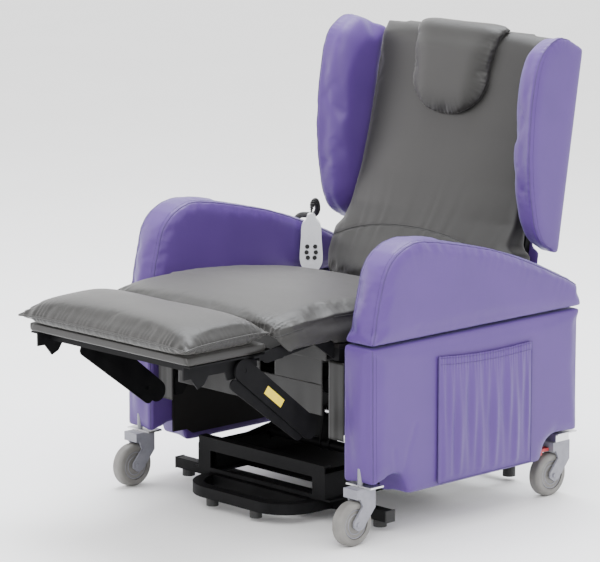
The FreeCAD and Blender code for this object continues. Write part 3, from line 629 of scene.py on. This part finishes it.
arm_left, arm_seams = build_arm()
arm_right = mirrored(arm_left, "arm_cover_right")
for side, obj in (("left", arm_left), ("right", arm_right)):
    soft(obj, "chassis", "purple", 0.8, "arm_pad_" + side)
    sign = 1 if side == "left" else -1
    for i, path in enumerate(arm_seams):
        laid = snap(path * (sign, 1, 1), obj, 0.0004)
        welt("arm_welt_%s_%d" % (side, i), laid, 0.0011, THREAD, "chassis")
        shift = sign * (-0.008 if i == 0 else 0.008)
        top = snap(laid + (shift, 0, 0), obj, 0.0002)
        stitches("arm_stitch_%s_%d" % (side, i), top, THREAD, "chassis")

# ---- side panels -----------------------------------------------------------------------------
PANEL_LINE = [(-0.337, 0.131), (-0.337, 0.4375), (0.337, 0.4375), (0.337, 0.150), (0.258, 0.150),
              (0.236, 0.143), (0.224, 0.130), (0.208, 0.091), (-0.222, 0.091), (-0.236, 0.128),
              (-0.247, 0.142), (-0.262, 0.146), (-0.280, 0.145), (-0.300, 0.137)]


def build_panel():
    obj = prism("panel_cover_left", PANEL_LINE, ARM_IN + 0.0035, ARM_OUT - 0.0015, PURPLE)
    remesh(obj)

    def keep(co):
        return np.clip((co[:, 0] - ARM_IN - 0.01) / 0.03, 0, 1) * np.clip((0.436 - co[:, 2]) / 0.02, 0.1, 1)
    puff(obj, 0.004, 0.8, 2.0, keep, 3)
    relax(obj, 4)
    subdivide(obj)
    lines = []
    for x in (ARM_OUT - 0.0015, ARM_IN + 0.0035):
        path = snap(even([(x, -0.3365, 0.133), (x, -0.3365, 0.436)], 0.003), obj)
        seam(obj, path, 0.0016, 0.003)
        lines.append(path)
    pull = even([(ARM_OUT, -0.240, 0.138), (ARM_OUT, -0.225, 0.200), (ARM_OUT, -0.205, 0.250)], 0.004)
    seam(obj, pull, 0.0012, 0.008)
    pull = even([(ARM_OUT, -0.262, 0.150), (ARM_OUT, -0.270, 0.205)], 0.004)
    seam(obj, pull, 0.0010, 0.007)
    return obj, lines


panel_left, panel_seams = build_panel()
panel_right = mirrored(panel_left, "panel_cover_right")
for side, obj in (("left", panel_left), ("right", panel_right)):
    soft(obj, "chassis", "purple", 0.9, "side_panel_" + side)
    sign = 1 if side == "left" else -1
    for i, path in enumerate(panel_seams):
        laid = snap(path * (sign, 1, 1), obj, 0.0004)
        welt("panel_welt_%s_%d" % (side, i), laid, 0.0010, THREAD, "chassis")
        row = snap(laid + (0, 0.008, 0), obj, 0.0002)
        stitches("panel_stitch_%s_%d" % (side, i), row, THREAD, "chassis")

# ---- side pocket -------------------------------------------------------------------------------


def build_pocket():
    """Gathered pouch: shirred band at the top, loose folds below it."""
    y0, y1, z0, z1 = -0.137, 0.163, 0.109, 0.394
    nu, nv = 150, 110
    verts = []
    for j in range(nv + 1):
        v = j / nv
        for i in range(nu + 1):
            u = i / nu
            y = y0 + (y1 - y0) * u
            top = z1 - 0.008 * u - 0.006 * math.sin(math.pi * u)
            z = z0 + (top - z0) * v
            rim = min(1, u / 0.05, (1 - u) / 0.05) * min(1, v / 0.06)
            fold = sum(a * math.sin(2 * math.pi * (f * u + b * (v - 0.5)) + c) for a, f, b, c in
                       ((0.0017, 5.3, 0.35, 0.4), (0.0013, 8.1, -0.5, 2.1), (0.0009, 13.0, 0.2, 4.0)))
            fold *= 0.35 + 0.9 * math.sin(math.pi * min(1, v * 1.1))
            band = 1 if v > 0.93 else 0
            shirred = max(0, (v - 0.72) / 0.28) ** 2
            ruche = 0.0011 * math.sin(2 * math.pi * 34 * u + 2 * math.sin(9 * u)) * shirred
            bulge = 0.0055 * math.sin(math.pi * min(1, 0.12 + v * 0.8)) * min(1, u / 0.12, (1 - u) / 0.12)
            x = ARM_OUT + 0.0042 + (bulge + fold) * rim + ruche * rim + 0.0006 * band
            verts.append((max(x, ARM_OUT + 0.0036), y, z))
    verts += [(x - 0.0012, y, z) for x, y, z in verts]
    return mesh_of("pocket_cloth", verts, thin_shell(nu, nv), PURPLE)


pocket = build_pocket()
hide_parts("side_pocket")
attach(pocket, "chassis")
rows = []
for drop in (0.018, 0.004):
    line = [(ARM_OUT + 0.02, y, 0.394 - 0.008 * u - 0.006 * math.sin(math.pi * u) - drop)
            for u, y in ((k / 40, -0.135 + 0.296 * k / 40) for k in range(41))]
    rows.append(stitches("pocket_stitch_%d" % len(rows), snap(even(line, 0.003), pocket, 0.0003), THREAD,
                         "chassis"))
edge = even([(ARM_OUT + 0.004, -0.1375, 0.394), (ARM_OUT + 0.004, -0.1375, 0.1085),
             (ARM_OUT + 0.004, 0.1635, 0.1085), (ARM_OUT + 0.004, 0.1635, 0.386)], 0.003)
rows.append(welt("pocket_welt", edge, 0.0013, THREAD, "chassis"))

# ---- backrest -----------------------------------------------------------------------------------
BACK_FRONT = [(-209, -4), (-192, 20), (-176, 46), (-137, 109), (-105, 175), (-80, 260), (-63, 365),
              (-56, 467), (-50, 570), (-42, 606)]
BACK_SIDE = [(-96, -4), (-101, 20), (-106, 46), (-93, 109), (-66, 175), (-50, 260), (-42, 365),
             (-38, 467), (-34, 570), (-31, 606)]
WING = [(-17, 125), (-64, 141), (-96, 177), (-113, 215), (-127, 253), (-137, 292), (-146, 331),
        (-151, 371), (-155, 410), (-158, 450), (-158, 491), (-155, 532), (-142, 575), (-112, 606),
        (-84, 620), (-50, 616)]


def at_back(p):
    """A point drawn on the upright back, in millimetres, put in its place in metres."""
    return BACK_TURN @ Vector((p[0] / 1000, p[1] / 1000, p[2] / 1000))


def front_of_back(x, z):
    """Local y of the back's front surface at local x and z, in millimetres."""
    zs = [p[1] for p in BACK_FRONT]
    mid = np.interp(z, zs, [p[0] for p in BACK_FRONT])
    side = np.interp(z, zs, [p[0] for p in BACK_SIDE])
    u = min(1, abs(x) / 298)
    return mid + (side - mid) * u ** 3


def build_back():
    verts = []
    zs = np.linspace(-4, 622, 64)
    us = np.linspace(-1, 1, 61)
    for z in zs:
        half = np.interp(z, [-4, 112, 128, 622], [297, 297, 274, 274])
        for u in us:
            x = half * u
            y = front_of_back(x, z) + 1 + 20 * max(0, (z - 590) / 32) ** 2.2
            verts.append(at_back((x, y, z - (12 * abs(u) ** 3 if z > 600 else 0))))
    for z in zs:
        half = np.interp(z, [-4, 112, 128, 622], [297, 297, 274, 274])
        for u in us:
            verts.append(at_back((half * u, -28 if z < 596 else -4, max(z, 8))))
    obj = mesh_of("back_cover", verts, thick_shell(len(us), len(zs)), GREY)
    remesh(obj)
    puff(obj, 0.006, 0.2, 3.0, None, 6)
    subdivide(obj)
    arc = [(-297, 84), (-250, 96), (-180, 118), (-95, 134), (0, 139)]
    arc += [(-x, z) for x, z in reversed(arc[:-1])]
    path = smooth_path([at_back((x, front_of_back(x, z), z)) for x, z in arc], 0.004)
    path = snap(path, obj)
    seam(obj, path, 0.0020, 0.004, 0.0012, 0.045, 0.05, seed=1.0)
    across = (-240, -120, 0, 120, 240)
    creases = smooth_path([at_back((x, front_of_back(x, 55), 55 + x * 0.02)) for x in across], 0.004)
    seam(obj, creases, 0.0012, 0.02)
    return obj, path


back, back_arc = build_back()
soft(back, "backrest", "grey", 0.8, "back_cushion")
laid = snap(back_arc, back, 0.0003)
welt("back_arc_welt", laid, 0.0008, THREAD_GREY, "backrest")
stitches("back_arc_stitch", snap(laid + (0, 0, -0.006), back, 0.0002), THREAD_GREY, "backrest")


def pillow_half(z):
    """Half width of the head pillow at local height z, in millimetres."""
    low, bend = 402.0, 494.0
    if z < bend:
        t = max(0.0, 1 - ((bend - z) / (bend - low)) ** 2)
        return 126 * math.sqrt(t)
    return 126 + 22 * ((z - bend) / 134) ** 1.5


def pillow_at(x, run, height):
    """Place on the pillow: run goes up the back's front to 592 mm and then rolls over its top."""
    if run <= 592:
        return at_back((x, front_of_back(x, run) - height, run))
    turn = min((run - 592) / 34, 1.0) * math.pi / 2
    y0, radius = front_of_back(x, 592), 27 + height
    return at_back((x, y0 + 27 - radius * math.cos(turn), 592 + radius * math.sin(turn)))


def build_pillow():
    """Stuffed pillow: full in the middle, sewn flat at its U-shaped edge, rolled over the top."""
    verts = []
    rows, cols = 60, 56
    runs = [402.5 + 222 * (1 - math.cos(math.pi * 0.5 * j / rows)) ** 0.8 for j in range(rows + 1)]
    for layer in (0, 1):
        for run in runs:
            half = max(pillow_half(run), 6)
            for i in range(cols + 1):
                u = 2 * i / cols - 1
                x = half * u
                edge = min(half * (1 - abs(u)), (run - 402) * 0.9 + 2)
                up = max(0.0, 1 - (1 - min(1, edge / 70)) ** 2) ** 0.6
                h = 4 + (24 - 12 * max(0.0, (run - 560) / 64)) * up
                verts.append(pillow_at(x, run, h if layer == 0 else -3))
    obj = mesh_of("head_pillow_cover", verts, thick_shell(cols + 1, rows + 1), GREY)
    remesh(obj, VOXEL * 0.85)
    puff(obj, 0.005, 0.3, 4.0, None, 3)
    subdivide(obj)
    outline = [(6 - pillow_half(z), z) for z in np.linspace(618, 404, 70)]
    outline += [(-x, z) for x, z in reversed(outline)]
    path = snap(even(np.array([pillow_at(x, z, 5) for x, z in outline]), 0.004), obj)
    seam(obj, path, 0.0030, 0.0045, 0.0024, 0.012, 0.014, seed=2.0)
    return obj, path


pillow, pillow_edge = build_pillow()
soft(pillow, "backrest", "grey", 1.0, "head_pillow")
stitches("pillow_stitch", snap(pillow_edge, pillow, 0.0008), THREAD_GREY, "backrest",
         0.0050, 0.0035, 0.0010)


def build_wing():
    """Side bolster: flat outer face, a broad front band and a round inner side."""
    line = smooth_path([(0, y, z) for y, z in WING], 6.0)
    outline = [(p[1], p[2]) for p in line] + [(-1, 597), (-1, 128)]
    obj = prism("wing_cover_left", [(y / 1000, z / 1000) for y, z in outline], 0.2755, 0.349, PURPLE)
    remesh(obj)
    co = coords_of(obj)
    edge = np.array([(0, p[1] / 1000, p[2] / 1000) for p in line])
    idx, d, _ = near(co * (0, 1, 1), edge, 0.060)
    far = np.full(len(co), 1.0)
    far[idx] = np.sqrt(1 - (1 - d / 0.060) ** 2)
    co[:, 0] = 0.349 - (0.349 - co[:, 0]) * (0.60 + 0.40 * far)
    set_coords(obj, co)

    def keep(c):
        return np.clip((0.351 - c[:, 0]) / 0.03, 0.25, 1) * np.clip((-0.002 - c[:, 1]) / 0.03, 0.05, 1)
    puff(obj, 0.009, 0.6, 3.0, keep, 5)
    relax(obj, 6)
    subdivide(obj)
    path = snap(even(edge + (0.3485, 0, 0), 0.003)[6:-4], obj)

    def where(c):
        high = np.clip((c[:, 2] - 0.47) / 0.05, 0, 1)
        low = np.exp(-((c[:, 2] - 0.22) / 0.09) ** 2)
        return 0.12 + high + 0.55 * low
    seam(obj, path, 0.0024, 0.0045, 0.0016, 0.0135, 0.010, where, 3.0)
    obj.data.transform(BACK_TURN)
    return obj, np.array([BACK_TURN @ Vector(p) for p in path])


wing_left, wing_seam = build_wing()
wing_right = mirrored(wing_left, "wing_cover_right")
for side, obj in (("left", wing_left), ("right", wing_right)):
    soft(obj, "backrest", "purple", 0.9, "wing_" + side)
    sign = 1 if side == "left" else -1
    laid = snap(wing_seam * (sign, 1, 1), obj, 0.0004)
    welt("wing_welt_" + side, laid, 0.0011, THREAD, "backrest")
    stitches("wing_stitch_" + side, snap(laid + (0, 0.009, 0), obj, 0.0002), THREAD, "backrest")


def build_rear():
    """Padded cover on the rear of the back."""
    outline = [(-296, 6), (296, 6), (296, 124), (273, 132), (273, 598)]
    outline += [(-x, z) for x, z in reversed(outline[2:])]
    n = len(outline)
    verts = [(x / 1000, y, z / 1000) for y in (-0.0095, 0.0) for x, z in outline]
    faces = [tuple(range(n)), tuple(range(n, 2 * n))]
    faces += [(i, (i + 1) % n, n + (i + 1) % n, n + i) for i in range(n)]
    obj = mesh_of("back_rear_cover", verts, faces, PURPLE)
    remesh(obj, 0.0075)
    puff(obj, 0.006, 0.25, 2.0, lambda c: np.clip((c[:, 1] + 0.0095) / 0.004, 0, 1), 2)
    subdivide(obj)
    line = [(x / 1000 * 0.985, 0.002, 0.006 + z / 1000 * 0.98) for x, z in outline + outline[:1]]
    path = snap(even(line, 0.004), obj)
    seam(obj, path, 0.002, 0.004)
    obj.data.transform(BACK_TURN)
    return obj, np.array([BACK_TURN @ Vector(p) for p in path])


rear, rear_seam = build_rear()
soft(rear, "backrest", "purple", 0.5, "back_panel")
stitches("back_rear_stitch", snap(rear_seam, rear, 0.0004), THREAD, "backrest")

# ---- seat and legrest ------------------------------------------------------------------------------

def seat_top(x, y):
    """Height of the seat's crown over its whole length, from the foot pad to the back."""
    ys = [-512, -470, -420, -370, -330, -250, -120, 20, 90, 101]
    zs = [493, 501, 508, 512, 514, 512, 502, 483, 467, 456]
    mid = np.interp(y * 1000, ys, zs) / 1000
    half = 0.290 if y < -0.338 else 0.299
    u = min(1, abs(x) / half)
    return mid + 0.012 * (1 - u ** 2.4) - 0.010 * max(0, u - 0.86) / 0.14


def seat_half(y):
    """Half width of the seat's cover at y; its front corners are drawn in."""
    half = 0.296 if y < -0.342 else 0.298
    if y < -0.45:
        half -= 0.014 * ((-0.45 - y) / 0.06) ** 2
    return half


def build_seat():
    verts = []
    ys = np.concatenate([np.linspace(-0.511, -0.345, 34), np.linspace(-0.340, 0.100, 70)])
    us = np.concatenate([[-1, -0.968], np.linspace(-0.965, 0.965, 71), [0.968, 1]])
    for layer in (0, 1):
        for y in ys:
            half = seat_half(y)
            rim = 0.034 * min(1, max(0, (y + 0.505) / 0.03), max(0, (-0.338 - y) / 0.012))
            low = np.interp(y, [-0.511, -0.43, -0.35, -0.335, 0.1], [0.464, 0.471, 0.4745, 0.434, 0.393])
            for u in us:
                x = half * u
                z = seat_top(x, y) - 0.004 if layer == 0 else low + 0.001 - (rim if abs(u) > 0.967 else 0)
                verts.append((x, y, z))
    obj = mesh_of("seat_cover", verts, thick_shell(len(us), len(ys)), GREY)
    remesh(obj)

    def keep(c):
        return np.clip((c[:, 2] - 0.46) / 0.02, 0.0, 1)
    puff(obj, 0.010, 0.5, 4.0, keep, 6)
    subdivide(obj)
    seams = []
    for sign in (1, -1):
        pts = [(sign * seat_half(y), y, seat_top(0.3, y) - 0.012) for y in np.linspace(-0.508, 0.08, 60)]
        path = snap(even(pts, 0.004), obj)
        seam(obj, path, 0.0022, 0.0045, 0.0020, 0.02, 0.03,
             lambda c: 0.3 + np.exp(-((c[:, 1] + 0.50) / 0.035) ** 2), 4.0 + sign)
        seams.append(path)
    front = even([(x, -0.511, 0.490) for x in np.linspace(-0.276, 0.276, 60)], 0.004)
    seam(obj, front, 0.004, 0.010, 0.0042, 0.0125, 0.030,
         lambda c: 0.12 + np.exp(-((np.abs(c[:, 0]) - 0.255) / 0.05) ** 2), 5.0)
    return obj, seams


seat, seat_seams = build_seat()
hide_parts("seat_cushion", "chaise_pad")
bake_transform(seat)
for i, path in enumerate(seat_seams):
    rear_run, front_run = path[path[:, 1] > -0.33], path[path[:, 1] < -0.42]
    for part, run, body in (("rear", rear_run, "chassis"), ("front", front_run, "legrest")):
        laid = snap(run, seat, 0.0005)
        welt("seat_welt_%s_%d" % (part, i), laid, 0.0010, THREAD_GREY, body)


def build_foot_pad():
    """Foot pad: crowned, drawn in between its pointed corners."""
    y0, y1, half = -0.757, -0.514, 0.279
    nu, nv = 90, 46
    verts = []
    for layer in (0, 1):
        for j in range(nv + 1):
            v = 2 * j / nv - 1
            for i in range(nu + 1):
                u = 2 * i / nu - 1
                x = half * u * (1 - 0.026 * (1 - v * v))
                y = (y0 + y1) / 2 + (y1 - y0) / 2 * v * (1 - 0.045 * (1 - u * u))
                rise = (1 - abs(u) ** 5) ** 0.55 * (1 - abs(v) ** 3.2) ** 0.6
                edge = 0.482 + 0.004 * v - 0.006 * (abs(u * v)) ** 6
                z = edge + 0.036 * rise if layer == 0 else edge - (edge - 0.4595) * min(1, 2.2 * rise)
                verts.append((x, y, z))
    faces, rim = layered_grids(nu, nv)
    weld = {a + (nu + 1) * (nv + 1): a for a in rim}
    faces = [tuple(weld.get(k, k) for k in f) for f in faces]
    obj = mesh_of("foot_pad_cover", verts, faces, GREY)
    bm = bmesh.new()
    bm.from_mesh(obj.data)
    bmesh.ops.delete(bm, geom=[v for v in bm.verts if not v.link_faces], context="VERTS")
    bm.to_mesh(obj.data)
    bm.free()
    outline = [verts[a] for a in rim]

    def keep(c):
        return np.clip((c[:, 2] - 0.484) / 0.012, 0.0, 1)
    puff(obj, 0.008, 0.3, 4.0, keep, 1)
    subdivide(obj)
    path = even(np.array(outline + outline[:1]), 0.004)

    def corners(c):
        across = np.exp(-((np.abs(c[:, 0]) - 0.262) / 0.05) ** 2)
        return 0.25 + across * np.exp(-((np.abs(c[:, 1] + 0.6355) - 0.10) / 0.05) ** 2)
    seam(obj, path, 0.0, 0.004, 0.0042, 0.016, 0.026, corners, 6.0)
    return obj, path


foot, foot_edge = build_foot_pad()
soft(foot, "legrest", "grey", 0.9, "legrest_pad")
welt("foot_welt", snap(foot_edge, foot, 0.0), 0.0022, GREY, "legrest")


def build_board():
    """Vinyl-wrapped board under the foot pad, folded like a parcel at its corners."""
    low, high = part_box("footboard")
    section = [(low.y, low.z), (low.y, high.z), (high.y, high.z), (high.y, low.z)]
    obj = prism("footboard_cover", section, low.x, high.x, GREY)
    remesh(obj, 0.005)
    relax(obj, 2)
    subdivide(obj)
    for sign in (1, -1):
        face = low.y - 0.0005
        fold = even([(sign * (high.x - 0.002), face, low.z), (sign * (high.x - 0.014), face, high.z)], 0.003)
        seam(obj, fold, 0.0016, 0.0025)
    return obj


board = build_board()
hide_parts("footboard")
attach(board, "legrest")

# ---- cloth under the front of the seat ---------------------------------------------------------------
def hanging(name, x0, x1, y, z0, z1, deep, count):
    """A hanging strip of vinyl with soft upright folds, free at its foot."""
    nu, nv = max(8, int((x1 - x0) / 0.004)), 26
    verts = []
    for back_face in (0, 1):
        for j in range(nv + 1):
            v = j / nv
            for i in range(nu + 1):
                u = i / nu
                wave = math.sin(2 * math.pi * count * u + 1.3 * math.sin(5 * u + len(name)) + 0.5 * v)
                ripple = 0.35 * math.sin(2.7 * 2 * math.pi * count * u + 2)
                fold = deep * (0.3 + 0.7 * (1 - v)) * (wave + ripple)
                verts.append((x0 + (x1 - x0) * u, y - fold + back_face * 0.0014, z0 + (z1 - z0) * v))
    obj = mesh_of(name, verts, thin_shell(nu, nv), CURTAIN)
    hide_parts("skirt")
    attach(obj, "chassis")
    return obj


hanging("skirt_low", -0.2355, 0.2365, -0.3205, 0.262, 0.331, 0.0009, 4)
hanging("skirt_high_left", 0.086, 0.2365, -0.3205, 0.331, 0.394, 0.0008, 1)
hanging("skirt_high_right", -0.234, 0.038, -0.3205, 0.331, 0.394, 0.0008, 2)
hanging("skirt_strip_left", 0.257, 0.304, -0.3205, 0.215, 0.390, 0.0008, 1)
hanging("skirt_strip_right", -0.304, -0.257, -0.3205, 0.215, 0.390, 0.0008, 1)
hanging("valance", -0.2685, 0.2685, -0.3395, 0.392, 0.452, 0.0008, 3)

# ---- hard pieces: rounded edges on the carried-over solids -----------------------------------------
for name, width, segments in (
        ("handset", 0.004, 4), ("control_box", 0.002, 2), ("lift_motor", 0.0015, 2),
        ("legrest_motor", 0.0015, 2), ("back_motor", 0.0015, 2), ("base_frame", 0.0008, 2),
        ("base_cross_tube", 0.002, 3), ("u_bar", 0.0035, 3), ("base_rubber", 0.0015, 2),
        ("legrest_frame", 0.0005, 1), ("legrest_links", 0.0008, 2)):
    m = NODES[name].modifiers.new("Edges", "BEVEL")
    m.width, m.segments, m.limit_method, m.angle_limit = width, segments, "ANGLE", math.radians(40)
    m.harden_normals = False
for name in NODES:
    if name.startswith("caster_"):
        m = NODES[name].modifiers.new("Edges", "BEVEL")
        m.width, m.segments, m.limit_method, m.angle_limit = 0.002, 3, "ANGLE", math.radians(40)


def ring(name, centre, radius, thick, look, body, part_slot):
    """Thin ring about the X axis."""
    verts, faces, n, m = [], [], 48, 8
    for i in range(n):
        a = 2 * math.pi * i / n
        for k in range(m):
            q = 2 * math.pi * k / m
            r = radius + thick * math.cos(q)
            verts.append((centre.x + thick * math.sin(q), centre.y + r * math.cos(a),
                          centre.z + r * math.sin(a)))
    for i in range(n):
        this, after = i * m, (i + 1) % n * m
        for k in range(m):
            beside = (k + 1) % m
            faces.append((this + k, this + beside, after + beside, after + k))
    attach(mesh_of(name, verts, faces, look), body)


for end in ("front", "rear"):
    for side in ("left", "right"):
        low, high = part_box("caster_wheel_%s_%s" % (end, side))
        for face, x in (("a", low.x + 0.003), ("b", high.x - 0.003)):
            for k, radius in enumerate((0.031, 0.022)):
                centre = Vector((x, (low.y + high.y) / 2, 0.05))
                ring("hub_ring_%s_%s_%s%d" % (end, side, face, k), centre, radius, 0.0012, CASTER,
                     "wheel_%s_%s" % (end, side), "caster")
